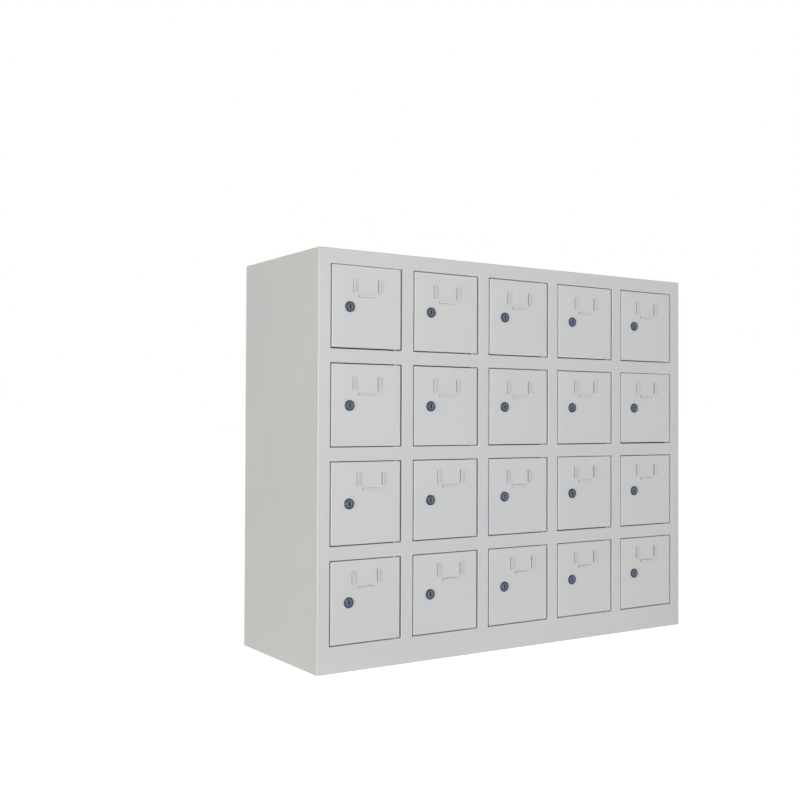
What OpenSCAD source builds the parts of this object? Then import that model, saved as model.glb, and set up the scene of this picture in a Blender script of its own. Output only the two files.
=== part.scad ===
// Cell phone locker box: a cabinet of folded steel sheet with columns and rows of small lockable
// doors. Each door turns on two short pins at its right edge and is held by a cam lock at its left.
// X runs to the right, Y to the back and Z up, and the origin is the middle of the base.

/* [Cabinet] */
// Number of door columns
columns = 5; // [1:1:5]
// Number of door rows
rows = 4; // [1:1:4]
// Depth of the cabinet from its front sheet to its back sheet
cabinet_d = 240; // [160:1:400]
// Thickness of the cabinet's sheet
sheet = 1; // [0.8:0.1:1.5]
// Height of the edges folded up from the base and down from the top
edge_h = 12; // [8:1:18]
// Diameter of the four wall fixing holes in the back
wall_hole_d = 8; // [5:0.5:12]

/* [Front frame] */
// Width of each door opening
opening_w = 120; // [110:1:200]
// Height of each door opening
opening_h = 120; // [100:1:200]
// Width of the upright bars between two columns
mullion_w = 20; // [12:1:40]
// Height of the bars between two rows
rail_h = 20; // [12:1:40]
// Width of the uprights at the two sides
stile_w = 20; // [12:1:40]
// Height of the bar over the top row
top_rail_h = 22; // [12:1:60]
// Height of the bar under the bottom row
bottom_rail_h = 38; // [22:1:80]
// Width of the lip that a closed door rests on and its cam turns behind
strike_w = 6; // [4:0.5:10]
// Gap between a closed door and that lip
strike_gap = 0.5; // [0.3:0.1:1]

/* [Doors] */
// Gap between a door and its opening on the lock side
latch_gap = 1.6; // [1:0.1:2.5]
// Gap over a door
head_gap = 1; // [0.8:0.1:2]
// Gap under a door
foot_gap = 1.3; // [1:0.1:2]
// Thickness of the doors' sheet
door_sheet = 1; // [0.8:0.1:1.5]
// Depth of the edges folded back round a door
door_depth = 12; // [10:0.5:20]
// Distance from a door's hinge edge to the axis of its pins
pivot_inset = 7.5; // [6:0.5:12]
// Diameter of the pivot pins
pin_d = 3; // [2:0.5:4]
// Length of a pin inside the frame, past the sheet
pin_tail = 3; // [2:0.5:5]
// Length of a pin inside the door, past the sheet
pin_nose = 2; // [1:0.5:5]
// Space between the pins and the sheet in front of them
pin_space = 0.5; // [0.3:0.1:1]
// Space between a door's turning corner and the side of its opening
swing_gap = 2.2; // [0.3:0.1:2.5]

/* [Card holder] */
// Width over the outer sides of the holder's two upright ribs
holder_w = 45.5; // [40:0.5:60]
// Distance from a door's top edge to the holder
holder_drop = 15; // [10:0.5:24]
// Length of the upright ribs
side_rib_h = 19.5; // [12:0.5:24]
// Length of the bottom rib
bottom_rib_w = 26; // [10:0.5:32]
// Distance from the upright ribs' lower ends to the bottom rib
rib_space = 3.5; // [1:0.5:5]
// Width of each rib
rib_w = 3.2; // [3.1:0.1:6]
// Height that the ribs stand out from the door
rib_t = 2.2; // [1.8:0.1:3]
// Height of the slit along the foot of each rib's inner side
card_slit = 0.4; // [0.2:0.1:0.8]
// How far left of a door's middle the holder sits
holder_left = 1; // [0:0.1:5]
// How much further right it sits on the doors where it is off centre
holder_right = 7.5; // [0:0.5:10]
// How far down the holder sits on the doors where it is low
holder_low = 3.5; // [0:0.5:6]

/* [Locks] */
// Distance from a door's free edge to the lock's axis
lock_inset = 29; // [20:0.5:34]
// How far below a door's middle the lock's axis is
lock_drop = 0.5; // [0:0.5:10]
// Diameter of the lock's face
lock_face_d = 15.5; // [14:0.5:20]
// Height that the lock's face stands out from the door
lock_face_t = 1.8; // [1.6:0.1:3]
// Diameter of the lock's threaded barrel
barrel_d = 12; // [11:0.5:13]
// Diameter of the turning plug in the barrel
plug_d = 9; // [7:0.5:9.5]
// Diameter of the plug's head
plug_head_d = 11; // [10.5:0.5:12]
// Thickness of the plug's head
plug_head_t = 1; // [0.5:0.1:1.2]
// Width of the key slot
key_slot_w = 1.8; // [1.2:0.1:2.2]
// Height of the key slot
key_slot_h = 6.5; // [4:0.5:7]
// Depth of the key slot
key_slot_d = 8; // [4:0.5:9]
// Width of the lock nut across its flats
nut_af = 15; // [14.5:0.5:18]
// Thickness of the lock nut
nut_t = 2.5; // [1.5:0.1:4]
// Width of the cam
cam_w = 12; // [9:0.5:14]
// Thickness of the cam
cam_t = 1.5; // [1:0.1:2.5]
// How far the turned cam reaches past the side of the opening
cam_catch = 3.5; // [1:0.5:4]
// Space between the cam and the lip in front of it
cam_gap = 0.7; // [0.4:0.1:1.5]
// Space between the cam and the end of the barrel
cam_play = 0.3; // [0.1:0.1:0.35]
// Width of the plug's square tail
tail_w = 5; // [4:0.5:5.5]
// Diameter of the cam screw's shank
screw_d = 3; // [2:0.5:3]
// Length of the cam screw's shank
screw_l = 6; // [3:0.5:6]
// Diameter of the cam screw's head
screw_head_d = 7; // [6.5:0.5:9]
// Height of the cam screw's head
screw_head_t = 2; // [1:0.1:3]

/* [Hidden] */
// The running and seating clearance between fitted pieces, and how far a cut passes its wall
fit_gap = 0.05;
cut = 1;
$fn = 64;

cabinet_w = 2 * stile_w + columns * opening_w + (columns - 1) * mullion_w;
cabinet_h = top_rail_h + rows * opening_h + (rows - 1) * rail_h + bottom_rail_h;
side_x = cabinet_w / 2;
front_y = -cabinet_d / 2;
back_y = cabinet_d / 2;
openings_top = cabinet_h - top_rail_h;

// The frame's edges turn back far enough to carry the lip behind the doors
lip_y = front_y + door_depth + strike_gap;
frame_y = lip_y + sheet;

// The pins lie just behind the front sheet, and the gap beside them lets the door's corner turn
pivot_depth = max(sheet, door_sheet) + pin_d / 2 + pin_space;
pivot_y = front_y + pivot_depth;
hinge_gap = sqrt(pow(pivot_inset, 2) + pow(pivot_depth, 2)) - pivot_inset + swing_gap;

leaf_w = opening_w - latch_gap - hinge_gap;
leaf_h = opening_h - head_gap - foot_gap;
lock_z = leaf_h / 2 - lock_drop;

// Depths behind a door's face, which the lock is worked out from
cam_y = frame_y - front_y + cam_gap;
barrel_end = cam_y - cam_play;
head_y = -lock_face_t + plug_head_t + 2 * fit_gap;
cam_reach = lock_inset + latch_gap + cam_catch;
face_chamfer = 0.5;

// The doors where the holder sits right of the middle or low, as [row, column]
off_centre = [[3, 1], [3, 2], [4, 2], [4, 3]];
low = [[1, 1], [1, 2], [1, 3], [1, 4], [1, 5], [2, 1], [2, 2], [2, 3], [3, 3]];

// The doors that hang a little high or low on their pins, as [row, column, rise]
uneven = [[1, 1, 0.5], [2, 1, -0.3], [2, 2, -0.3], [2, 5, 0.5], [3, 4, 0.3]];

function divider_name(c) = str("divider_", c);
function shelves_name(r) = str("shelves_", r);
function door_name(r, c) = str("door_r", r, "c", c);
function lock_name(r, c) = str("lock_r", r, "c", c);

cabinet_grey = [0.78, 0.78, 0.77];
door_grey = [0.81, 0.81, 0.80];
lock_blue = [0.13, 0.15, 0.21];
pin_steel = [0.62, 0.63, 0.65];

// The left edge of a column's openings, and the lower edge of a row's
function opening_x(c) = -side_x + stile_w + (c - 1) * (opening_w + mullion_w);
function opening_z(r) = openings_top - r * opening_h - (r - 1) * rail_h;

// The two sides of a column's compartments, behind the frame
function bay_left(c) = c == 1 ? sheet - side_x : opening_x(c) - mullion_w / 2 + sheet / 2;
function bay_right(c) = c == columns ? side_x - sheet : opening_x(c) + opening_w + mullion_w / 2 - sheet / 2;

function pivot_x(c) = opening_x(c) + opening_w - hinge_gap - pivot_inset;

// Whether a list of doors has the one in row r and column c, and how far that one is raised
function listed(doors, r, c) = len([for (d = doors) if (d == [r, c]) d]) > 0;
function rise(r, c) = [for (d = uneven) if ([d[0], d[1]] == [r, c]) d[2], 0][0];

// A block between two places along each axis
module block(x, y, z) {
    translate([x[0], y[0], z[0]]) cube([x[1] - x[0], y[1] - y[0], z[1] - z[0]]);
}

// A cylinder along the depth, from one depth to another
module along_y(d, y) {
    translate([0, y[0], 0]) rotate([-90, 0, 0]) cylinder(d = d, h = y[1] - y[0]);
}

// One column's lips, beside its openings on the lock side of an upright
module strike_lips(x) {
    for (r = [1:rows])
        block([x, x + strike_w], [lip_y, frame_y], [opening_z(r), opening_z(r) + opening_h]);
}

// The holes for one row of pins, through the sheet whose lower face is at z
module pin_holes(z) {
    for (c = [1:columns])
        translate([pivot_x(c), pivot_y, z - cut]) cylinder(d = pin_d, h = sheet + 2 * cut);
}

// A side of the cabinet with the upright that is folded from its front edge
module side_panel() {
    block([-side_x, sheet - side_x], [front_y, back_y], [0, cabinet_h]);
    block([-side_x, stile_w - side_x], [front_y, front_y + sheet], [0, cabinet_h]);
    block([stile_w - sheet - side_x, stile_w - side_x], [front_y, frame_y], [sheet, cabinet_h - sheet]);
}

module side_panel_left() color(cabinet_grey) {
    side_panel();
    strike_lips(stile_w - side_x);
}

module side_panel_right() color(cabinet_grey) mirror([1, 0, 0]) side_panel();

// The top, with the bar over the top row and the edges folded down at both sides
module top_panel() color(cabinet_grey) {
    bar_x = [stile_w - side_x, side_x - stile_w];
    block([sheet - side_x, side_x - sheet], [front_y + sheet, back_y - sheet], [cabinet_h - sheet, cabinet_h]);
    block(bar_x, [front_y, front_y + sheet], [openings_top, cabinet_h]);
    difference() {
        block(bar_x, [front_y, frame_y], [openings_top, openings_top + sheet]);
        pin_holes(openings_top);
    }
    for (m = [0, 1]) mirror([m, 0, 0])
        block([sheet - side_x, 2 * sheet - side_x], [frame_y, back_y - sheet], [cabinet_h - edge_h, cabinet_h]);
}

// The back, with a wall fixing hole in the middle of each corner compartment
module back_panel() color(cabinet_grey) difference() {
    block([sheet - side_x, side_x - sheet], [back_y - sheet, back_y], [0, cabinet_h]);
    for (c = [1, columns], r = [1, rows])
        translate([opening_x(c) + opening_w / 2, back_y, opening_z(r) + opening_h / 2])
            along_y(wall_hole_d, [-sheet - cut, cut]);
}

// The floor of the bottom row, with the bar under that row
module floor_panel() color(cabinet_grey) {
    bar_x = [stile_w - side_x, side_x - stile_w];
    floor_z = [bottom_rail_h - sheet, bottom_rail_h];
    block([sheet - side_x, side_x - sheet], [frame_y, back_y - sheet], floor_z);
    block(bar_x, [front_y, front_y + sheet], [0, bottom_rail_h]);
    difference() {
        block(bar_x, [front_y, frame_y], floor_z);
        pin_holes(floor_z[0]);
    }
}

// The closed base, with its four edges folded up inside the cabinet
module base_pan() color(cabinet_grey) {
    inner_x = side_x - sheet;
    block([-inner_x, inner_x], [front_y + sheet, back_y - sheet], [0, sheet]);
    for (m = [0, 1]) mirror([m, 0, 0])
        block([-inner_x, sheet - inner_x], [frame_y, back_y - sheet], [0, edge_h]);
    block([-inner_x, inner_x], [back_y - 2 * sheet, back_y - sheet], [0, edge_h]);
    block([stile_w - side_x, side_x - stile_w], [front_y + sheet, front_y + 2 * sheet], [0, edge_h]);
}

// The wall between columns c and c + 1, with the upright bar folded round its front edge
module divider(c) color(cabinet_grey) {
    bar_x = [opening_x(c) + opening_w, opening_x(c + 1)];
    wall_x = [opening_x(c + 1) - (mullion_w + sheet) / 2, opening_x(c + 1) - (mullion_w - sheet) / 2];
    bar_z = [bottom_rail_h, openings_top];
    block(bar_x, [front_y, front_y + sheet], bar_z);
    block([bar_x[0], bar_x[0] + sheet], [front_y, frame_y], bar_z);
    block([bar_x[1] - sheet, bar_x[1]], [front_y, frame_y], bar_z);
    strike_lips(bar_x[1]);
    block(wall_x, [front_y, back_y - sheet], bar_z);
    block(wall_x, [frame_y, back_y - sheet], [bottom_rail_h, cabinet_h - sheet]);
}

// The shelves under row r, each with the bar in front of it folded down from its edge
module shelves(r) color(cabinet_grey) {
    bar_z = [opening_z(r) - rail_h, opening_z(r)];
    shelf_z = [bar_z[1] - sheet, bar_z[1]];
    difference() {
        for (c = [1:columns]) {
            bar_x = [opening_x(c), opening_x(c) + opening_w];
            block(bar_x, [front_y, front_y + sheet], bar_z);
            block(bar_x, [front_y, frame_y], [bar_z[0], bar_z[0] + sheet]);
            block(bar_x, [front_y, frame_y], shelf_z);
            block([bay_left(c), bay_right(c)], [frame_y, back_y - sheet], shelf_z);
        }
        pin_holes(bar_z[0]);
        pin_holes(shelf_z[0]);
    }
}

// Two pins for every door, held in the frame over and under its opening
module hinge_pins() color(pin_steel) {
    held = pin_tail + sheet;
    nose = door_sheet + pin_nose;
    for (r = [1:rows], c = [1:columns]) translate([pivot_x(c), pivot_y, opening_z(r)]) {
        translate([0, 0, -held]) cylinder(d = pin_d, h = held + foot_gap + nose);
        translate([0, 0, opening_h - head_gap - nose]) cylinder(d = pin_d, h = nose + head_gap + held);
    }
}

// A hollow rib of the given length, pressed out of the door's face at y = 0. It stands on the z
// axis, and its inner side, to the right, is slit along its foot so that a card slips in.
module rib(length) {
    hollow_z = [door_sheet, length - door_sheet];
    difference() {
        block([0, rib_w], [-rib_t, 0], [0, length]);
        block([door_sheet, rib_w - door_sheet], [door_sheet - rib_t, cut], hollow_z);
        block([rib_w / 2, rib_w + cut], [-card_slit, cut], hollow_z);
    }
}

// The window that the pressed rib leaves in the door's sheet
module rib_window(length) {
    block([door_sheet, rib_w], [-cut, door_sheet + cut], [door_sheet, length - door_sheet]);
}

// The three places of the ribs on a door, for the ribs and for the windows behind them
module at_ribs(shift_x, shift_z) {
    mid_x = leaf_w / 2 + shift_x;
    side_z = leaf_h - holder_drop - side_rib_h + shift_z;
    translate([mid_x - holder_w / 2, 0, side_z]) {
        $rib_length = side_rib_h;
        children();
    }
    translate([mid_x + holder_w / 2, 0, side_z]) mirror([1, 0, 0]) {
        $rib_length = side_rib_h;
        children();
    }
    translate([mid_x + bottom_rib_w / 2, 0, side_z - rib_space - rib_w]) rotate([0, -90, 0]) {
        $rib_length = bottom_rib_w;
        children();
    }
}

// The pressed door with its folded edges, its card holder and its holes
module door_pan(shift_x, shift_z) {
    difference() {
        block([0, leaf_w], [0, door_depth], [0, leaf_h]);
        block(
            [door_sheet, leaf_w - door_sheet], [door_sheet, door_depth + cut], [door_sheet, leaf_h - door_sheet]
        );
        at_ribs(shift_x, shift_z) rib_window($rib_length);
        translate([lock_inset, 0, lock_z]) along_y(barrel_d + 2 * fit_gap, [-cut, door_sheet + cut]);
        translate([leaf_w - pivot_inset, pivot_depth, -cut])
            cylinder(d = pin_d + 2 * fit_gap, h = leaf_h + 2 * cut);
    }
    at_ribs(shift_x, shift_z) rib($rib_length);
}

// The lock's fixed body: a round face with a chamfered edge and a barrel behind it
module lock_barrel() {
    difference() {
        union() {
            translate([0, -fit_gap, 0]) rotate([90, 0, 0]) {
                cylinder(d = lock_face_d, h = lock_face_t - face_chamfer);
                translate([0, 0, lock_face_t - face_chamfer])
                    cylinder(d1 = lock_face_d, d2 = lock_face_d - 2 * face_chamfer, h = face_chamfer);
            }
            along_y(barrel_d, [-fit_gap, barrel_end]);
        }
        along_y(plug_d + 2 * fit_gap, [-lock_face_t - cut, barrel_end + cut]);
        along_y(plug_head_d + 2 * fit_gap, [-lock_face_t - cut, head_y]);
    }
}

module lock_nut() {
    translate([0, door_sheet + fit_gap, 0]) rotate([-90, 0, 0]) difference() {
        cylinder(d = nut_af / cos(30), h = nut_t, $fn = 6);
        translate([0, 0, -cut]) cylinder(d = barrel_d + 2 * fit_gap, h = nut_t + 2 * cut);
    }
}

// Puts its children at the lower left front corner of a door
module at_door(r, c) {
    translate([opening_x(c) + latch_gap, front_y, opening_z(r) + foot_gap + rise(r, c)]) children();
}

module door(r, c) {
    at_door(r, c) {
        color(door_grey)
            door_pan(
                (listed(off_centre, r, c) ? holder_right : 0) - holder_left, listed(low, r, c) ? -holder_low : 0
            );
        translate([lock_inset, 0, lock_z]) {
            color(lock_blue) lock_barrel();
            color(pin_steel) lock_nut();
        }
    }
}

// The turning plug with its head, its key slot and the square tail that carries the cam
module lock_plug() {
    difference() {
        union() {
            along_y(plug_head_d, [head_y - fit_gap - plug_head_t, head_y - fit_gap]);
            along_y(plug_d, [head_y - 2 * fit_gap, cam_y - fit_gap]);
            block([-tail_w / 2, tail_w / 2], [barrel_end, cam_y + cam_t], [-tail_w / 2, tail_w / 2]);
        }
        block(
            [-key_slot_w / 2, key_slot_w / 2], [-lock_face_t - cut, key_slot_d - lock_face_t],
            [-key_slot_h / 2, key_slot_h / 2]
        );
        along_y(screw_d + 2 * fit_gap, [cam_y + cam_t - screw_l - fit_gap, cam_y + cam_t + cut]);
    }
}

// The cam hangs down from the plug's tail when the lock is open
module lock_cam() {
    hole_w = tail_w + 2 * fit_gap;
    difference() {
        union() {
            along_y(cam_w, [cam_y, cam_y + cam_t]);
            block([-cam_w / 2, cam_w / 2], [cam_y, cam_y + cam_t], [-cam_reach, 0]);
        }
        block([-hole_w / 2, hole_w / 2], [cam_y - cut, cam_y + cam_t + cut], [-hole_w / 2, hole_w / 2]);
    }
}

module cam_screw() {
    head = cam_y + cam_t + fit_gap;
    along_y(screw_d, [head - screw_l, head]);
    along_y(screw_head_d, [head, head + screw_head_t]);
}

module lock(r, c) {
    at_door(r, c) translate([lock_inset, 0, lock_z]) {
        color(lock_blue) lock_plug();
        color(pin_steel) lock_cam();
        color(pin_steel) cam_screw();
    }
}

side_panel_left();
side_panel_right();
top_panel();
back_panel();
floor_panel();
base_pan();
hinge_pins();
for (c = [1:1:columns - 1]) divider(c);
for (r = [1:1:rows - 1]) shelves(r);
for (r = [1:rows], c = [1:columns]) door(r, c);
for (r = [1:rows], c = [1:columns]) lock(r, c);
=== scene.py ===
"""A cell phone locker box: a folded steel cabinet in light grey powder coat, with twenty small
doors on pivot pins. Each door has a pressed card holder and a dark cam lock."""

import math

import bmesh
import bpy
from mathutils import Matrix, Vector


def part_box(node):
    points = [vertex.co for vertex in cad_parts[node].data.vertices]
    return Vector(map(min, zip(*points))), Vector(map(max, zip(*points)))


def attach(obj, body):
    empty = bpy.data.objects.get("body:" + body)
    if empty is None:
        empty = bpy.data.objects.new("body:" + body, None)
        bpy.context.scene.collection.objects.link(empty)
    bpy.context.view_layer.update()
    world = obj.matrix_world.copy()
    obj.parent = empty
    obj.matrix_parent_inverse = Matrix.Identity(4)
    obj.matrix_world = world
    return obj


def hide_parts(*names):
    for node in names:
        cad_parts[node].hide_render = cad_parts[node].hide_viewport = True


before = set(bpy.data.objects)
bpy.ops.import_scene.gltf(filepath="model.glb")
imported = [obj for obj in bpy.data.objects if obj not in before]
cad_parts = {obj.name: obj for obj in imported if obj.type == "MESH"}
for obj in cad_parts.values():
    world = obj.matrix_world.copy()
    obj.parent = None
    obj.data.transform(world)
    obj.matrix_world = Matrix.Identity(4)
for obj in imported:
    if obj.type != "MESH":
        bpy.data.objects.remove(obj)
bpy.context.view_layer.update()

# Camera
# It stands left of the cabinet at about half its height and looks to the right along the doors.
# The focal length and the place come from the edges of the cabinet in the photograph.
image_px = 800
focal_px = 1076
sensor_mm = 36
camera_place = (-1.0782, -1.4453, 0.3606)
camera_turns = ((-32.81, "Z"), (0.93, "X"), (-0.23, "Y"), (90, "X"))
camera_data = bpy.data.cameras.new("camera")
camera_data.sensor_width = sensor_mm
camera_data.lens = camera_data.sensor_width * focal_px / image_px
camera = bpy.data.objects.new("camera", camera_data)
standing = Matrix.Translation(camera_place)
for degrees, axis in camera_turns:
    standing = standing @ Matrix.Rotation(math.radians(degrees), 4, axis)
camera.matrix_world = standing
bpy.context.collection.objects.link(camera)
bpy.context.scene.camera = camera
bpy.context.scene.view_settings.view_transform = "Standard"

# Studio floor
# A wide sheet of white paper that the cabinet stands on. It looks white to the camera and in
# reflections, and still takes the cabinet's soft shadow.
paper_white = 0.92
paper_white_seen = 0.42
paper_glow = 0.96
paper_reach = 20


def seen_directly(tree):
    """1 for rays that come from the camera or a reflection, and 0 for all others."""
    rays = tree.nodes.new("ShaderNodeLightPath")
    either = tree.nodes.new("ShaderNodeMath")
    either.operation = "MAXIMUM"
    tree.links.new(rays.outputs["Is Camera Ray"], either.inputs[0])
    tree.links.new(rays.outputs["Is Glossy Ray"], either.inputs[1])
    return either.outputs[0]


def matt(tree, white):
    diffuse = tree.nodes.new("ShaderNodeBsdfDiffuse")
    diffuse.inputs["Color"].default_value = (white, white, white, 1)
    return diffuse.outputs[0]


floor_material = bpy.data.materials.new("white_paper")
floor_material.use_nodes = True
tree = floor_material.node_tree
tree.nodes.remove(tree.nodes["Principled BSDF"])
glow = tree.nodes.new("ShaderNodeEmission")
glow.inputs["Strength"].default_value = paper_glow
seen = tree.nodes.new("ShaderNodeAddShader")
tree.links.new(matt(tree, paper_white_seen), seen.inputs[0])
tree.links.new(glow.outputs[0], seen.inputs[1])
choose = tree.nodes.new("ShaderNodeMixShader")
tree.links.new(seen_directly(tree), choose.inputs[0])
tree.links.new(matt(tree, paper_white), choose.inputs[1])
tree.links.new(seen.outputs[0], choose.inputs[2])
tree.links.new(choose.outputs[0], tree.nodes["Material Output"].inputs["Surface"])
floor_mesh = bpy.data.meshes.new("floor")
floor_bm = bmesh.new()
bmesh.ops.create_grid(floor_bm, x_segments=1, y_segments=1, size=paper_reach)
floor_bm.to_mesh(floor_mesh)
floor_bm.free()
floor_mesh.materials.append(floor_material)
floor = bpy.data.objects.new("floor", floor_mesh)
bpy.context.collection.objects.link(floor)

# Studio light
# A soft surround that looks white, a lamp far to the left that grazes the front and throws the
# short shadows beside the ribs and locks, and a wide soft lamp in front.
surround_level = 0.294
world = bpy.data.worlds.new("surround")
bpy.context.scene.world = world
world.use_nodes = True
tree = world.node_tree
level = tree.nodes.new("ShaderNodeMapRange")
level.inputs["To Min"].default_value = surround_level
level.inputs["To Max"].default_value = 1.0
tree.links.new(seen_directly(tree), level.inputs["Value"])
tree.links.new(level.outputs[0], tree.nodes["Background"].inputs["Strength"])
tree.nodes["Background"].inputs["Color"].default_value = (1, 1, 1, 1)


def soft_lamp(name, place, aim, width, watts, colour):
    lamp = bpy.data.lights.new(name, "AREA")
    lamp.shape = "SQUARE"
    lamp.size = width
    lamp.energy = watts
    lamp.color = colour
    lamp_object = bpy.data.objects.new(name, lamp)
    lamp_object.location = place
    towards = Vector(aim) - Vector(place)
    lamp_object.rotation_euler = towards.to_track_quat("-Z", "Y").to_euler()
    bpy.context.collection.objects.link(lamp_object)


soft_lamp(
    "grazing_lamp", place=(-4.45, -1.55, 0.2), aim=(-0.2, -0.12, 0.3), width=0.6, watts=104,
    colour=(0.982, 1, 0.914),
)
soft_lamp(
    "front_lamp", place=(-0.7, -3.6, 0.5), aim=(0, 0, 0.3), width=1.5, watts=74.5,
    colour=(0.929, 0.934, 1),
)

# Powder coat
# Light grey polyester powder baked on the steel. Close up it has a fine orange-peel skin, and its
# tone and gloss drift a little over each panel.
mm = 0.001
# Lumps to the metre of each channel's drift in tone, and the least and most of it
tone_drift = ((6, 0.985, 1.008), (6, 0.986, 1.007), (9, 0.98, 1.01))
speck_lumps = 1400
smudge_lumps = 160
gloss_drift_lumps = 11
wave_lumps = 14
wave_depth = 0.25 * mm
peel_lumps = 750
peel_depth = 0.05 * mm


def effect(name, inputs, outputs):
    """A new shader node group with its sockets, and its nodes that take in and put out."""
    tree = bpy.data.node_groups.new(name, "ShaderNodeTree")
    for way, sockets in (("INPUT", inputs), ("OUTPUT", outputs)):
        for socket, kind in sockets.items():
            tree.interface.new_socket(socket, in_out=way, socket_type=f"NodeSocket{kind}")
    taken, given_out = tree.nodes.new("NodeGroupInput"), tree.nodes.new("NodeGroupOutput")
    return tree, taken.outputs, given_out.inputs


def noise(tree, lumps, detail):
    """Cloudy noise with so many lumps to the metre, from the object's own coordinates."""
    texture = tree.nodes.new("ShaderNodeTexNoise")
    texture.inputs["Scale"].default_value = lumps
    texture.inputs["Detail"].default_value = detail
    place = tree.nodes.new("ShaderNodeTexCoord").outputs["Object"]
    tree.links.new(place, texture.inputs["Vector"])
    return texture.outputs["Fac"]


def spread(tree, value, low, high, start=0.3, end=0.7):
    """Takes a value's range from start to end over to low to high."""
    ranged = tree.nodes.new("ShaderNodeMapRange")
    limits = {"From Min": start, "From Max": end, "To Min": low, "To Max": high}
    for socket, number in limits.items():
        ranged.inputs[socket].default_value = number
    tree.links.new(value, ranged.inputs["Value"])
    return ranged.outputs[0]


def calculate(tree, operation, first, second):
    node = tree.nodes.new("ShaderNodeMath")
    node.operation = operation
    for socket, value in zip(node.inputs, (first, second)):
        if isinstance(value, (int, float)):
            socket.default_value = value
        else:
            tree.links.new(value, socket)
    return node.outputs[0]


def shaded(tree, colour, shade):
    """A colour times a grey shade."""
    mix = tree.nodes.new("ShaderNodeMix")
    mix.data_type = "RGBA"
    mix.blend_type = "MULTIPLY"
    mix.inputs["Factor"].default_value = 1
    # A Mix node's two colours in are its sockets 6 and 7, and its colour out is 2
    tree.links.new(colour, mix.inputs[6])
    tree.links.new(shade, mix.inputs[7])
    return mix.outputs[2]


def raised(tree, height, depth, strength, under=None):
    """A bump of the given depth from a height of 0 to 1."""
    bump = tree.nodes.new("ShaderNodeBump")
    bump.inputs["Distance"].default_value = depth
    tree.links.new(height, bump.inputs["Height"])
    tree.links.new(strength, bump.inputs["Strength"])
    if under:
        tree.links.new(under, bump.inputs["Normal"])
    return bump.outputs[0]


powder, given, put = effect(
    "powder_coat", {"Paint": "Color", "Peel": "Float", "Gloss": "Float"},
    {"Color": "Color", "Roughness": "Float", "Normal": "Vector"},
)
drift = powder.nodes.new("ShaderNodeCombineColor")
for channel, (lumps, least, most) in enumerate(tone_drift):
    powder.links.new(spread(powder, noise(powder, lumps, 2), least, most), drift.inputs[channel])
specks = spread(powder, noise(powder, speck_lumps, 1), 0.93, 1, start=0.24, end=0.30)
tone = shaded(powder, shaded(powder, given["Paint"], drift.outputs[0]), specks)
powder.links.new(tone, put["Color"])
smudges = spread(powder, noise(powder, smudge_lumps, 3), -0.03, 0.04)
gloss_drift = spread(powder, noise(powder, gloss_drift_lumps, 3), -0.03, 0.03)
uneven = calculate(powder, "ADD", smudges, gloss_drift)
powder.links.new(calculate(powder, "ADD", given["Gloss"], uneven), put["Roughness"])
waves = raised(powder, noise(powder, wave_lumps, 1), wave_depth, given["Peel"])
peel = raised(powder, noise(powder, peel_lumps, 2), peel_depth, given["Peel"], waves)
powder.links.new(peel, put["Normal"])


def coated(name, group, settings, specular):
    """A material whose colour, roughness and normal come from one of the shader groups."""
    material = bpy.data.materials.new(name)
    material.use_nodes = True
    tree = material.node_tree
    coat = tree.nodes.new("ShaderNodeGroup")
    coat.node_tree = group
    for socket, value in settings.items():
        coat.inputs[socket].default_value = value
    shader = tree.nodes["Principled BSDF"]
    tree.links.new(coat.outputs["Color"], shader.inputs["Base Color"])
    tree.links.new(coat.outputs["Roughness"], shader.inputs["Roughness"])
    tree.links.new(coat.outputs["Normal"], shader.inputs["Normal"])
    shader.inputs["Specular IOR Level"].default_value = specular
    return material


cabinet_paint = coated(
    "cabinet_paint", powder, {"Paint": (0.60, 0.60, 0.59, 1), "Peel": 0.5, "Gloss": 0.42}, 0.4
)

# Cabinet shell
# The front, sides and top of 1 mm steel sheet, welded and ground so that the front reads as one
# sheet with twenty openings. The edges of each opening turn back 13.5 mm, and on the lock side
# they end in a lip that the closed door meets.
rows, columns = range(1, 5), range(1, 6)
cells = [(row, column) for row in rows for column in columns]
sheet = 1 * mm
opening_size = 120 * mm
bar = 20 * mm
top_bar = 22 * mm
lip_depth = 12.5 * mm
lip_width = 6 * mm
outer_bend = 1.6 * mm
opening_bend = 1.3 * mm
lip_bend = 0.6 * mm
pin_radius = 1.5 * mm
pivot_inset = 7.5 * mm
pivot_depth = 3 * mm
ring_corners = 24
ring_margin = 0.1 * mm
sharp_from = math.radians(28)
on_line = 1e-6
on_plane = 1e-5
square_on = 0.999
shell_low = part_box("side_panel_left")[0]
shell_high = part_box("side_panel_right")[1]
front_y = shell_low.y


def opening(row, column):
    """The left, right, bottom and top of a door's opening."""
    left = shell_low.x + bar + (column - 1) * (opening_size + bar)
    top = shell_high.z - top_bar - (row - 1) * (opening_size + bar)
    return left, left + opening_size, top - opening_size, top


def pivot_x(column):
    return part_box(f"door_r1c{column}")[1].x - pivot_inset


def along_axis(axis):
    """The direction of one axis, from 0 for x to 2 for z."""
    return Vector([float(i == axis) for i in range(3)])


def block(low, high):
    """A square-edged block between two corners."""
    bm = bmesh.new()
    matrix = Matrix.Translation((low + high) / 2) @ Matrix.Diagonal((*(high - low), 1))
    bmesh.ops.create_cube(bm, size=1, matrix=matrix)
    return bm


def edges_of(faces):
    return list(dict.fromkeys(e for f in faces for e in f.edges))


def verts_of(parts):
    return list(dict.fromkeys(v for part in parts for v in part.verts))


def score(bm, chosen, axis, places):
    """Scores the chosen faces along straight lines at the given places of one axis."""
    normal = along_axis(axis)
    for place in places:
        faces = [f for f in bm.faces if chosen(f)]
        bmesh.ops.bisect_plane(
            bm, geom=edges_of(faces) + verts_of(faces) + faces, dist=on_line,
            plane_co=normal * place, plane_no=normal,
        )


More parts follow.
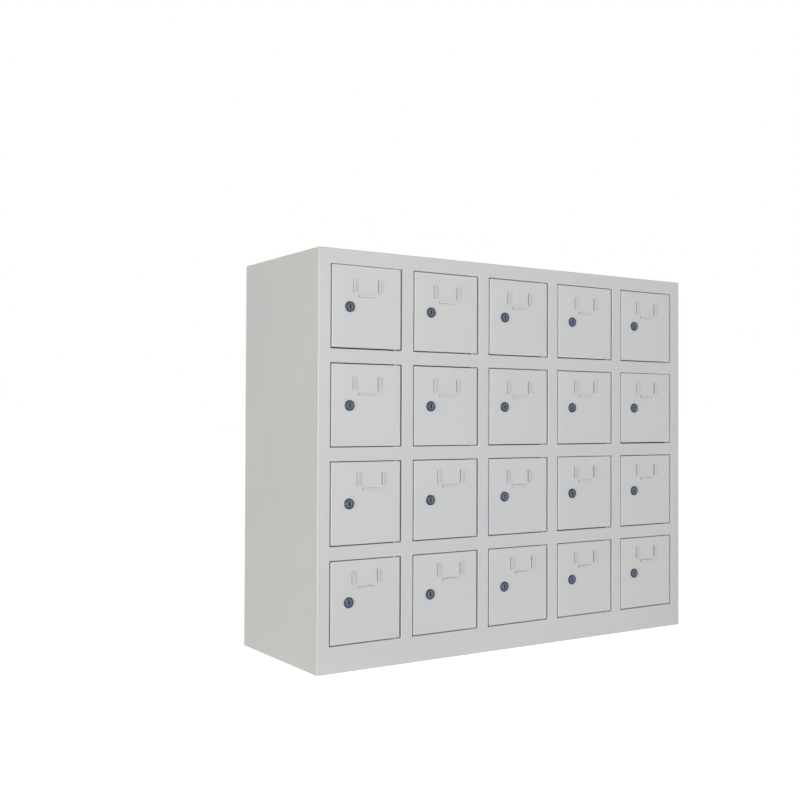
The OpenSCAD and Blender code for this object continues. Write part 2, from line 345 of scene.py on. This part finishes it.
def round_edges(bm, edges, radius, segments):
    bmesh.ops.bevel(
        bm, geom=edges, offset=radius, offset_type="OFFSET", segments=segments, profile=0.5,
        affect="EDGES", material=-1, clamp_overlap=True,
    )


def push_out(bm, edges, step):
    """Draws new sheet out from some edges and gives back its far edges."""
    drawn = bmesh.ops.extrude_edge_only(bm, edges=edges)["geom"]
    moved_verts = [v for v in drawn if isinstance(v, bmesh.types.BMVert)]
    bmesh.ops.translate(bm, verts=moved_verts, vec=step)
    new_edges = [e for e in drawn if isinstance(e, bmesh.types.BMEdge)]
    return [e for e in new_edges if all(v in moved_verts for v in e.verts)]


def face_round(bm, point, axis):
    """The flat face round a point, square to the given axis."""
    bm.normal_update()
    others = [i for i in range(3) if i != axis]
    for face in bm.faces:
        spots = [v.co for v in face.verts]
        level = abs(spots[0][axis] - point[axis]) < on_plane
        if level and abs(face.normal[axis]) > square_on:
            if all(min(s[i] for s in spots) < point[i] < max(s[i] for s in spots) for i in others):
                return face


def ring_round(bm, point, axis, radius):
    """Draws a circle on the flat face round a point and gives back its face."""
    point = Vector(point)
    half = radius + ring_margin
    for i in [i for i in range(3) if i != axis]:
        for side in (-half, half):
            face = face_round(bm, point, axis)
            normal = along_axis(i)
            bmesh.ops.bisect_plane(
                bm, geom=[face, *face.edges, *face.verts], dist=on_line,
                plane_co=point + normal * side, plane_no=normal,
            )
    square = face_round(bm, point, axis)
    bmesh.ops.subdivide_edges(bm, edges=square.edges[:], cuts=ring_corners // 4 - 1)
    square = face_round(bm, point, axis)
    bmesh.ops.inset_individual(bm, faces=[square], thickness=ring_margin / 2)
    for vert in square.verts:
        vert.co = point + (vert.co - point).normalized() * radius
    return square


def bore(bm, point, axis, radius):
    """Opens a round hole in the skin."""
    bmesh.ops.delete(bm, geom=[ring_round(bm, point, axis, radius)], context="FACES_ONLY")


def add_piece(name, bm, material, body, replaced):
    """Makes the named piece from a finished mesh: smooth on its bends and sharp on cut edges."""
    mesh = bpy.data.meshes.new(name)
    bm.to_mesh(mesh)
    bm.free()
    mesh.materials.append(material)
    mesh.shade_smooth()
    mesh.set_sharp_from_angle(angle=sharp_from)
    piece = bpy.data.objects.new(name, mesh)
    bpy.context.collection.objects.link(piece)
    weighted = piece.modifiers.new("flat_faces_stay_flat", "WEIGHTED_NORMAL")
    weighted.keep_sharp = True
    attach(piece, body)
    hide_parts(*replaced)


def add_steelwork(name, bm, *replaced):
    """Makes a painted piece of the cabinet itself."""
    add_piece(name, bm, cabinet_paint, "cabinet", replaced)


def faces_front(face):
    return face.normal.y < -square_on


shell = block(shell_low, shell_high)
open_sides = [f for f in shell.faces if f.normal.y > 0.5 or f.normal.z < -0.5]
bmesh.ops.delete(shell, geom=open_sides, context="FACES")
round_edges(shell, [e for e in shell.edges if not e.is_boundary], outer_bend, 4)
score(shell, faces_front, 0, [x for column in columns for x in opening(1, column)[:2]])
score(shell, faces_front, 2, [z for row in rows for z in opening(row, 1)[2:]])
holes = [opening(row, column) for row, column in cells]


def in_hole(point):
    return any(left < point.x < right and low < point.z < high for left, right, low, high in holes)


def on_lock_side(edge):
    """Whether a turned edge is the upright one at the left of an opening."""
    first, second = (v.co.x for v in edge.verts)
    nearest = min(abs(first - left) for left, right, low, high in holes)
    return abs(first - second) < on_line and nearest < on_line


blanks = [f for f in shell.faces if faces_front(f) and in_hole(f.calc_center_median())]
rims = edges_of(blanks)
bmesh.ops.delete(shell, geom=blanks, context="FACES_ONLY")
returns = push_out(shell, rims, (0, lip_depth, 0))
lock_side = [e for e in returns if on_lock_side(e)]
other_sides = [e for e in returns if e not in lock_side]
push_out(shell, lock_side, (lip_width, 0, 0))
push_out(shell, other_sides, (0, sheet, 0))
round_edges(shell, rims, opening_bend, 4)
round_edges(shell, [e for e in lock_side if e.is_valid], lip_bend, 3)
for row, column in cells:
    for z in opening(row, column)[2:]:
        bore(shell, (pivot_x(column), front_y + pivot_depth, z), 2, pin_radius)
bmesh.ops.recalc_face_normals(shell, faces=shell.faces)
bmesh.ops.solidify(shell, geom=shell.faces[:], thickness=sheet)
add_steelwork(
    "cabinet_shell", shell, "side_panel_left", "side_panel_right", "top_panel", "floor_panel",
    *(f"divider_{column}" for column in columns[:-1]), *(f"shelves_{row}" for row in rows[:-1]),
)

# Top folds
# Two narrow strips of the top's own sheet, folded down inside the sides and spot-welded there.
# They stiffen the top's two long side edges.
fold = 12 * mm
sheared = 0.25 * mm
behind_frame = front_y + lip_depth + sheet
back_inside = shell_high.y - sheet


def plate(low, high):
    """A flat sheet between two corners, with its edges broken."""
    bm = block(Vector(low), Vector(high))
    round_edges(bm, bm.edges[:], sheared, 2)
    return bm


for side, x in (("left", shell_low.x + sheet), ("right", shell_high.x - 2 * sheet)):
    strip = plate(
        (x, behind_frame, shell_high.z - fold), (x + sheet, back_inside, shell_high.z - sheet)
    )
    add_steelwork(f"top_fold_{side}", strip, "top_panel")

# Inner walls
# Four upright plates of the same sheet, one between each two columns, welded into the front bars.
# Their sheared edges are softened.
for column in columns[:-1]:
    wall_low, wall_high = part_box(f"divider_{column}")
    middle = opening(1, column)[1] + bar / 2
    wall = plate(
        (middle - sheet / 2, front_y + sheet, wall_low.z),
        (middle + sheet / 2, wall_high.y, wall_high.z),
    )
    add_steelwork(f"inner_wall_{column}", wall, f"divider_{column}")

# Shelves
# A plate of the same sheet under every compartment, between the walls at its sides. It is
# spot-welded to the turned edge of the bar in front of it.
for row in rows[:-1]:
    shelf_low, shelf_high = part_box(f"shelves_{row}")
    for column in columns:
        left, right, low, high = opening(row, column)
        shelf_left = shelf_low.x if column == 1 else left - bar / 2 + sheet / 2
        shelf_right = shelf_high.x if column == 5 else right + bar / 2 - sheet / 2
        shelf = plate((shelf_left, behind_frame, low - sheet), (shelf_right, shelf_high.y, low))
        add_steelwork(f"shelf_{row}_{column}", shelf, f"shelves_{row}")

# Floor of the bottom row
# One plate of the same sheet behind the bar under the bottom row, between the two sides. The
# inner walls stand on it.
floor_low, floor_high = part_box("floor_panel")
bottom_floor = plate(
    (floor_low.x, behind_frame, floor_high.z - sheet), (floor_high.x, floor_high.y, floor_high.z)
)
add_steelwork("bottom_floor", bottom_floor, "floor_panel")

# Back panel
# A flat sheet set in between the sides. It has a wall fixing hole in each corner compartment, and
# a row of shallow spot-weld marks down each side.
fixing_radius = 4 * mm
weld_radius = 2.5 * mm
weld_dent = 0.25 * mm
weld_inset = 8 * mm
weld_count = 7


def flat_sheet(centre, width, length, turn=Matrix()):
    """A flat skin about its middle, turned from lying on the ground."""
    bm = bmesh.new()
    matrix = Matrix.Translation(centre) @ turn @ Matrix.Diagonal((width, length, 1, 1))
    bmesh.ops.create_grid(bm, x_segments=1, y_segments=1, size=0.5, matrix=matrix)
    return bm


def face_outwards(bm, outwards):
    """Turns the faces of an open skin so that most of it points the given way."""
    bmesh.ops.recalc_face_normals(bm, faces=bm.faces)
    if sum(f.normal.dot(outwards) * f.calc_area() for f in bm.faces) < 0:
        bmesh.ops.reverse_faces(bm, faces=bm.faces[:])


back_low, back_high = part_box("back_panel")
back_middle = ((back_low.x + back_high.x) / 2, back_high.y, (back_low.z + back_high.z) / 2)
facing_back = Matrix.Rotation(math.radians(-90), 4, "X")
back = flat_sheet(back_middle, back_high.x - back_low.x, back_high.z - back_low.z, facing_back)
for column in (columns[0], columns[-1]):
    for row in (rows[0], rows[-1]):
        left, right, low, high = opening(row, column)
        bore(back, ((left + right) / 2, back_high.y, (low + high) / 2), 1, fixing_radius)
weld_gap = (back_high.z - back_low.z - 4 * weld_inset) / (weld_count - 1)
for x in (back_low.x + weld_inset, back_high.x - weld_inset):
    for k in range(weld_count):
        spot = (x, back_high.y, back_low.z + 2 * weld_inset + k * weld_gap)
        mark = ring_round(back, spot, 1, weld_radius)
        bmesh.ops.inset_individual(back, faces=[mark], thickness=weld_dent)
        bmesh.ops.translate(back, verts=mark.verts[:], vec=(0, -weld_dent, 0))
face_outwards(back, (0, 1, 0))
bmesh.ops.solidify(back, geom=back.faces[:], thickness=sheet)
add_steelwork("rear_panel", back, "back_panel")

# Base
# A closed pan of the same sheet, with its four edges folded up and welded inside the cabinet. The
# cabinet stands on it.
base_bend = 1.2 * mm
base_low, base_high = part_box("base_pan")
base_middle = ((base_low.x + base_high.x) / 2, (base_low.y + base_high.y) / 2, base_low.z)
base = flat_sheet(base_middle, base_high.x - base_low.x, base_high.y - base_low.y)
push_out(base, base.edges[:], (0, 0, fold))
round_edges(base, [e for e in base.edges if not e.is_boundary], base_bend, 3)
face_outwards(base, (0, 0, -1))
bmesh.ops.solidify(base, geom=base.faces[:], thickness=sheet)
add_steelwork("closed_base", base, "base_pan")

# Doors
# Each door is one pressed pan of 1 mm sheet, its four edges turned back 12 mm. Three hollow ribs
# pressed out of its face hold a card, whose edges slip into slits along the ribs' inner sides.
leaf_bend = 1.2 * mm
rib_bend = 0.12 * mm
door_depth = 12 * mm
lock_inset = 29 * mm
lock_drop = 0.5 * mm
lock_hole = 6.05 * mm
running_fit = 0.05 * mm
rib_width = 3.2 * mm
rib_height = 2.2 * mm
card_slit = 0.4 * mm
slit_margin = 1.5 * mm
side_rib = 19.5 * mm
bottom_rib = 26 * mm
rib_space = 3.5 * mm
holder_width = 45.5 * mm
holder_drop = 15 * mm
holder_left = 1 * mm
# The holder sits lower on most doors of the upper rows, and further right on four doors
holder_right = 7.5 * mm
holder_low = 3.5 * mm
off_centre = ((3, 1), (3, 2), (4, 2), (4, 3))
low_set = ((1, 1), (1, 2), (1, 3), (1, 4), (1, 5), (2, 1), (2, 2), (2, 3), (3, 3))
facing_front = Matrix.Rotation(math.radians(90), 4, "X")
door_paint = coated(
    "door_paint", powder, {"Paint": (0.61, 0.61, 0.60, 1), "Peel": 0.5, "Gloss": 0.42}, 0.4
)
# The ribs' side walls are painted darker by this share: painted shade beside the ribs
rib_wall_shade_share = 0.45
# Painted shade: the door's colour is darkened on the ribs' side walls
tree = door_paint.node_tree
painted_rib_shade = tree.nodes.new("ShaderNodeAttribute")
painted_rib_shade.attribute_name = "painted_rib_shade"
shade_amount = calculate(tree, "MULTIPLY", painted_rib_shade.outputs["Fac"], rib_wall_shade_share)
unshaded_share = calculate(tree, "SUBTRACT", 1, shade_amount)
colour_with_rib_shade = shaded(tree, tree.nodes["Group"].outputs["Color"], unshaded_share)
tree.links.new(colour_with_rib_shade, tree.nodes["Principled BSDF"].inputs["Base Color"])


def on_face(face):
    return abs(face.normal.y) > square_on


def press_rib(door, outer, way, along, length):
    """Presses one rib out of a door, from the middle of its outer side towards its inner side."""
    def place(element):
        offset = element.calc_center_median() - outer
        return offset.dot(way), offset.y, abs(offset.dot(along))

    def inner_side(face):
        across, out, from_middle = place(face)
        at_side = rib_width - on_line < across < rib_width + rib_bend
        return at_side and out < -on_line and from_middle < length / 2

    footprint = []
    for face in door.faces:
        across, out, from_middle = place(face)
        if on_face(face) and 0 < across < rib_width and from_middle < length / 2:
            footprint.append(face)
    pressed = bmesh.ops.extrude_face_region(door, geom=footprint)["geom"]
    bmesh.ops.delete(door, geom=footprint, context="FACES_ONLY")
    top = [v for v in pressed if isinstance(v, bmesh.types.BMVert)]
    bmesh.ops.translate(door, verts=top, vec=(0, -rib_height, 0))
    walls = [f for v in top for f in v.link_faces if f not in pressed]
    round_edges(door, edges_of(walls), rib_bend, 4)
    door.normal_update()
    slit_half, middle = length / 2 - slit_margin, outer.dot(along)
    score(door, inner_side, 1, [front_y - card_slit])
    score(door, inner_side, 0 if along.x else 2, [middle - slit_half, middle + slit_half])
    slit = []
    for face in filter(inner_side, door.faces):
        across, out, from_middle = place(face)
        if out > -card_slit and from_middle < slit_half:
            slit.append(face)
    bmesh.ops.delete(door, geom=slit, context="FACES")


def build_door(row, column):
    leaf_low, leaf_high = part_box(f"door_r{row}c{column}")
    left, right, low, high = leaf_low.x, leaf_high.x, leaf_low.z, leaf_high.z
    shift = holder_right if (row, column) in off_centre else 0
    drop = holder_low if (row, column) in low_set else 0
    middle = (left + right) / 2 - holder_left + shift
    side_z = high - holder_drop - side_rib / 2 - drop
    foot_z = side_z - side_rib / 2 - rib_space - rib_width
    half = holder_width / 2
    to_right, up = Vector((1, 0, 0)), Vector((0, 0, 1))
    # The middle of each rib's outer side, the way to its inner side, the way along it, its length
    ribs = (
        (Vector((middle - half, front_y, side_z)), to_right, up, side_rib),
        (Vector((middle + half, front_y, side_z)), -to_right, up, side_rib),
        (Vector((middle, front_y, foot_z)), up, to_right, bottom_rib),
    )
    door_middle = ((left + right) / 2, front_y, (low + high) / 2)
    door = flat_sheet(door_middle, right - left, high - low, facing_front)
    rim = door.edges[:]
    turned_back = push_out(door, rim, (0, door_depth, 0))
    corners = [e for e in door.edges if e not in rim and e not in turned_back]
    round_edges(door, rim + corners, leaf_bend, 4)
    # The holder's own part of the face is scored off first, so that no line crosses the lock hole
    holder_base = foot_z - rib_space
    score(door, on_face, 2, [holder_base])
    bore(door, (left + lock_inset, front_y, (low + high) / 2 - lock_drop), 1, lock_hole)
    for z in (low, high):
        pivot = (right - pivot_inset, front_y + pivot_depth, z)
        bore(door, pivot, 2, pin_radius + running_fit)

    def by_holder(face):
        return on_face(face) and face.calc_center_median().z > holder_base

    for outer, way, along, length in ribs:
        for axis in (0, 2):
            steps = (0, rib_width) if way[axis] else (-length / 2, length / 2)
            places = [outer[axis] + (way + along)[axis] * step for step in steps]
            score(door, by_holder, axis, places)
    for outer, way, along, length in ribs:
        press_rib(door, outer, way, along, length)
    face_outwards(door, (0, -1, 0))
    # Marks the ribs' side walls, where the painted shade goes
    shaded_wall_faces = door.faces.layers.float.new("painted_rib_shade")
    for face in door.faces:
        if not on_face(face) and face.calc_center_median().y < front_y - on_line:
            face[shaded_wall_faces] = 1
    bmesh.ops.solidify(door, geom=door.faces[:], thickness=sheet)
    return door


for row, column in cells:
    leaf = build_door(row, column)
    node = f"door_r{row}c{column}"
    add_piece(f"leaf_r{row}c{column}", leaf, door_paint, node, [node])

# Hinge pins
# Short round steel rods with chamfered ends, two to each door. They are pressed into the frame
# over and under the opening, and the door turns on their noses.
pin_held = 4 * mm
pin_nose = 3 * mm
pin_chamfer = 0.3 * mm
head_gap = 1 * mm
foot_gap = 1.3 * mm
stain_lumps = 90
pit_lumps = 2600
haze_lumps = 420
grain_lumps = 3200
grain_depth = 0.02 * mm

metal, given, put = effect(
    "plated_metal", {"Metal": "Color", "Stain": "Float", "Gloss": "Float", "Grain": "Float"},
    {"Color": "Color", "Roughness": "Float", "Normal": "Vector"},
)
clouds = calculate(metal, "SUBTRACT", spread(metal, noise(metal, stain_lumps, 4), 0, 1), 0.5)
clouds = calculate(metal, "ADD", calculate(metal, "MULTIPLY", clouds, given["Stain"]), 1)
pits = spread(metal, noise(metal, pit_lumps, 2), 0.75, 1, start=0.28, end=0.42)
metal.links.new(shaded(metal, shaded(metal, given["Metal"], clouds), pits), put["Color"])
haze = spread(metal, noise(metal, haze_lumps, 4), -0.06, 0.10)
metal.links.new(calculate(metal, "ADD", given["Gloss"], haze), put["Roughness"])
grain = raised(metal, noise(metal, grain_lumps, 3), grain_depth, given["Grain"])
metal.links.new(grain, put["Normal"])


def plated(name, colour, stain, gloss, grain):
    """A bare or plated metal of the given colour."""
    settings = {"Metal": (*colour, 1), "Stain": stain, "Gloss": gloss, "Grain": grain}
    material = coated(name, metal, settings, 0.5)
    material.node_tree.nodes["Principled BSDF"].inputs["Metallic"].default_value = 1
    return material


def turned(profile, axis, steps):
    """A solid turned about one axis from its closed outline of (radius, place on the axis)."""
    bm = bmesh.new()
    turning = along_axis(axis)
    outward = Vector((1, 0, 0))
    corners = [bm.verts.new(outward * radius + turning * place) for radius, place in profile]
    outline = [bm.edges.new((a, b)) for a, b in zip(corners, corners[1:] + corners[:1])]
    bmesh.ops.spin(
        bm, geom=corners + outline, cent=(0, 0, 0), axis=turning, angle=math.tau, steps=steps,
        use_merge=True,
    )
    bmesh.ops.remove_doubles(bm, verts=bm.verts[:], dist=1e-7)
    bmesh.ops.dissolve_degenerate(bm, dist=1e-7, edges=bm.edges[:])
    bmesh.ops.delete(bm, geom=[e for e in bm.edges if e.is_wire], context="EDGES")
    bmesh.ops.recalc_face_normals(bm, faces=bm.faces[:])
    return bm


def moved(bm, place):
    """A copy of a finished mesh, set down at its place."""
    copied = bm.copy()
    bmesh.ops.translate(copied, verts=copied.verts[:], vec=place)
    return copied


def pin(length):
    shoulder = pin_radius - pin_chamfer
    lower_end = [(0, 0), (shoulder, 0), (pin_radius, pin_chamfer)]
    upper_end = [(pin_radius, length - pin_chamfer), (shoulder, length), (0, length)]
    return turned(lower_end + upper_end, 2, 32)


pin_steel = plated("pin_steel", (0.36, 0.37, 0.38), stain=0.15, gloss=0.42, grain=0.5)
lower_pin = pin(pin_held + foot_gap + pin_nose)
upper_pin = pin(pin_nose + head_gap + pin_held)
for row, column in cells:
    left, right, low, high = opening(row, column)
    pins = (("lower", lower_pin, low - pin_held), ("upper", upper_pin, high - head_gap - pin_nose))
    for end, shape, z in pins:
        name = f"{end}_pin_r{row}c{column}"
        set_pin = moved(shape, (pivot_x(column), front_y + pivot_depth, z))
        add_piece(name, set_pin, pin_steel, "cabinet", ["hinge_pins"])
lower_pin.free()
upper_pin.free()

# Lock barrels
# The fixed body of a small cam lock, die-cast and plated slate blue: a round face with a rolled
# edge on a threaded barrel that passes through the door.
barrel_end = 13.9 * mm
barrel_radius = 6 * mm
face_radius = 7.75 * mm
face_height = 1.8 * mm
# The face's rolled edge: how far in from its rim, and how far behind its front
rolled_edge = ((0, 0.55 * mm), (0.15 * mm, 0.22 * mm), (0.45 * mm, 0.03 * mm), (0.8 * mm, 0))
plug_radius = 4.5 * mm
head_radius = 5.5 * mm
head_height = 1 * mm
head_back = -0.7 * mm
mouth_flare = 0.3 * mm
mouth_depth = 0.2 * mm
thread_depth = 0.35 * mm
thread_pitch = 0.8 * mm
thread_start = 2 * mm
cam_width = 12 * mm
slate = plated("lock_finish", (0.055, 0.072, 0.098), stain=0.5, gloss=0.30, grain=0.35)


def lock_place(row, column):
    """Where a lock's axis meets the plane of its door's face."""
    low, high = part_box(f"lock_r{row}c{column}")
    return Vector(((low.x + high.x) / 2, front_y, high.z - cam_width / 2))


def fit_to_locks(shape, name, material, carrier, back=0):
    """Sets a copy of a shape at every lock, to ride with its door or with its lock."""
    for row, column in cells:
        node = f"{carrier}_r{row}c{column}"
        copied = moved(shape, lock_place(row, column) + Vector((0, back, 0)))
        add_piece(f"{name}_r{row}c{column}", copied, material, node, [node])
    shape.free()


half_turns = range(int((barrel_end - thread_start) / thread_pitch * 2) - 1)
thread = [
    (barrel_radius - thread_depth * (turn % 2), thread_start + thread_pitch / 2 * turn)
    for turn in half_turns
]
seat = -running_fit
rim_y = seat - face_height
barrel = turned(
    [
        (face_radius, seat), *((face_radius - inset, rim_y + drop) for inset, drop in rolled_edge),
        (head_radius + mouth_flare, rim_y), (head_radius + running_fit, rim_y + mouth_depth),
        (head_radius + running_fit, head_back), (plug_radius + running_fit, head_back),
        (plug_radius + running_fit, barrel_end), (barrel_radius - thread_depth, barrel_end),
        *reversed(thread), (barrel_radius, seat),
    ], 1, 48,
)
fit_to_locks(barrel, "barrel", slate, "door")

# Lock nuts
# A thin hexagonal nut of zinc-plated steel, its outer edges chamfered. It is screwed on each
# barrel and clamps it from behind the door.
nut_flats = 15 * mm
nut_height = 2.5 * mm
nut_chamfer = 0.35 * mm
zinc = plated("zinc_plate", (0.55, 0.56, 0.57), stain=0.3, gloss=0.36, grain=0.8)


def disc(y, radius, segments):
    """A flat face with so many corners round the lock's axis, square to it."""
    bm = bmesh.new()
    matrix = Matrix.Translation((0, y, 0)) @ facing_front
    bmesh.ops.create_circle(bm, cap_ends=True, segments=segments, radius=radius, matrix=matrix)
    return bm


nut = disc(0, nut_flats / 2 / math.cos(math.radians(30)), 6)
bore(nut, (0, 0, 0), 1, barrel_radius + running_fit)
face_outwards(nut, (0, -1, 0))
bmesh.ops.solidify(nut, geom=nut.faces[:], thickness=nut_height)


def on_nut_outside(edge):
    return min(v.co.xz.length for v in edge.verts) > nut_flats / 2 - on_line


nut_edges = [e for e in nut.edges if e.calc_face_angle(0) > math.radians(40) and on_nut_outside(e)]
round_edges(nut, nut_edges, nut_chamfer, 2)
fit_to_locks(nut, "nut", zinc, "door", back=sheet + running_fit)

# Lock plugs
# The turning core of each lock, with a round head let into the face, a key slot through the head
# and a square tail that carries the cam.
slot_width = 1.8 * mm
slot_height = 6.5 * mm
slot_depth = 8 * mm
plug_end = 14.15 * mm
tail_width = 5 * mm
tail_end = 15.7 * mm
screw_radius = 1.5 * mm
screw_length = 6 * mm
head_bend = 0.25 * mm
plug_finish = plated("plug_finish", (0.120, 0.155, 0.200), stain=0.4, gloss=0.24, grain=0.3)


def filled(bm, rim):
    """Closes a flat opening, given by its edges, with one face."""
    bmesh.ops.contextual_create(bm, geom=rim)


def draw_oblong(bm, y, half_width, half_height, length):
    """Draws an oblong of a flat face straight back: a pocket in a front, or a tail on an end."""
    def level_with(face):
        return on_face(face) and abs(face.calc_center_median().y - y) < on_line

    score(bm, level_with, 0, (-half_width, half_width))
    score(bm, level_with, 2, (-half_height, half_height))
    oblong = face_round(bm, Vector((0, y, 0)), 1)
    edges = oblong.edges[:]
    bmesh.ops.delete(bm, geom=[oblong], context="FACES_ONLY")
    filled(bm, push_out(bm, edges, (0, length, 0)))


def narrowed(bm, edges, radius):
    """Draws a round rim in to a smaller radius."""
    far = push_out(bm, edges, (0, 0, 0))
    for vert in verts_of(far):
        vert.co.x, vert.co.z = vert.co.xz.normalized() * radius
    return far


head_y = head_back - running_fit - head_height
plug = disc(head_y, head_radius, 48)
draw_oblong(plug, head_y, slot_width / 2, slot_height / 2, slot_depth)
head_rim = [e for e in plug.edges if e.is_boundary]
head_side = push_out(plug, head_rim, (0, head_height, 0))
plug_body = narrowed(plug, head_side, plug_radius)
filled(plug, push_out(plug, plug_body, (0, plug_end - head_y - head_height, 0)))
plug.normal_update()
draw_oblong(plug, plug_end, tail_width / 2, tail_width / 2, tail_end - plug_end)
screw_hole = ring_round(plug, (0, tail_end, 0), 1, screw_radius + running_fit)
hole_rim = screw_hole.edges[:]
bmesh.ops.delete(plug, geom=[screw_hole], context="FACES_ONLY")
filled(plug, push_out(plug, hole_rim, (0, -screw_length - running_fit, 0)))
round_edges(plug, [e for e in head_rim if e.is_valid], head_bend, 2)
bmesh.ops.recalc_face_normals(plug, faces=plug.faces)
fit_to_locks(plug, "plug", plug_finish, "lock")

# Cams
# A flat stamping of zinc-plated steel with a square hole for the plug's tail. It hangs down when
# the lock is open, and turns a quarter to catch behind the frame's lip.
cam_reach = 34.1 * mm
cam_thick = 1.5 * mm
cam_front = 14.2 * mm
cam_corner = 2 * mm
cam_edge_bend = 0.15 * mm
cam = disc(cam_front, cam_width / 2, 48)
bmesh.ops.bisect_plane(
    cam, geom=cam.faces[:] + cam.edges[:] + cam.verts[:], plane_co=(0, 0, 0), plane_no=(0, 0, 1),
    clear_inner=True,
)
cut_edge = [e for e in cam.edges if all(abs(v.co.z) < 1e-7 for v in e.verts)]
foot = push_out(cam, cut_edge, (0, 0, -cam_reach))
bmesh.ops.bevel(
    cam, geom=verts_of(foot), offset=cam_corner, offset_type="OFFSET", segments=4, profile=0.5,
    affect="VERTICES", material=-1,
)
bmesh.ops.dissolve_faces(cam, faces=cam.faces[:])
half_hole = tail_width / 2 + running_fit
score(cam, on_face, 0, (-half_hole, half_hole))
score(cam, on_face, 2, (-half_hole, half_hole))
square_hole = face_round(cam, Vector((0, cam_front, 0)), 1)
bmesh.ops.delete(cam, geom=[square_hole], context="FACES_ONLY")
face_outwards(cam, (0, -1, 0))
bmesh.ops.solidify(cam, geom=cam.faces[:], thickness=cam_thick)
cam_edges = [e for e in cam.edges if e.calc_face_angle(0) > math.radians(60)]
round_edges(cam, cam_edges, cam_edge_bend, 2)
fit_to_locks(cam, "cam", zinc, "lock")

# Cam screws
# A pan-head screw of zinc-plated steel with a cross recess. It is screwed into the plug's tail and
# holds the cam on it.
screw_back = 15.75 * mm
screw_chamfer = 0.3 * mm
screw_head_radius = 3.5 * mm
screw_head = 2 * mm
# The head's rounded edge: how far in from its rim, and how far under its top
pan_edge = ((0, 1.1 * mm), (0.25 * mm, 0.5 * mm), (0.8 * mm, 0.12 * mm), (1.4 * mm, 0))
cross_arm = 1.7 * mm
cross_half = 0.4 * mm
cross_depth = 1.1 * mm
head_top = screw_back + screw_head
tip = screw_back - screw_length
screw = turned(
    [
        (0, tip), (screw_radius - screw_chamfer, tip), (screw_radius, tip + screw_chamfer),
        (screw_radius, screw_back), (screw_head_radius, screw_back),
        *((screw_head_radius - inset, head_top - drop) for inset, drop in pan_edge), (0, head_top),
    ], 1, 32,
)


def on_head_top(face):
    level = abs(face.calc_center_median().y - head_top) < on_line
    return face.normal.y > square_on and level


def in_cross(face):
    across, up = sorted(map(abs, face.calc_center_median().xz))
    return on_head_top(face) and up < cross_arm and across < cross_half


bmesh.ops.dissolve_faces(screw, faces=[f for f in screw.faces if on_head_top(f)])
for axis in (0, 2):
    score(screw, on_head_top, axis, (-cross_arm, -cross_half, cross_half, cross_arm))
bmesh.ops.delete(screw, geom=[f for f in screw.faces if in_cross(f)], context="FACES")
filled(screw, push_out(screw, [e for e in screw.edges if e.is_boundary], (0, -cross_depth, 0)))
bmesh.ops.recalc_face_normals(screw, faces=screw.faces)
fit_to_locks(screw, "screw", zinc, "lock")
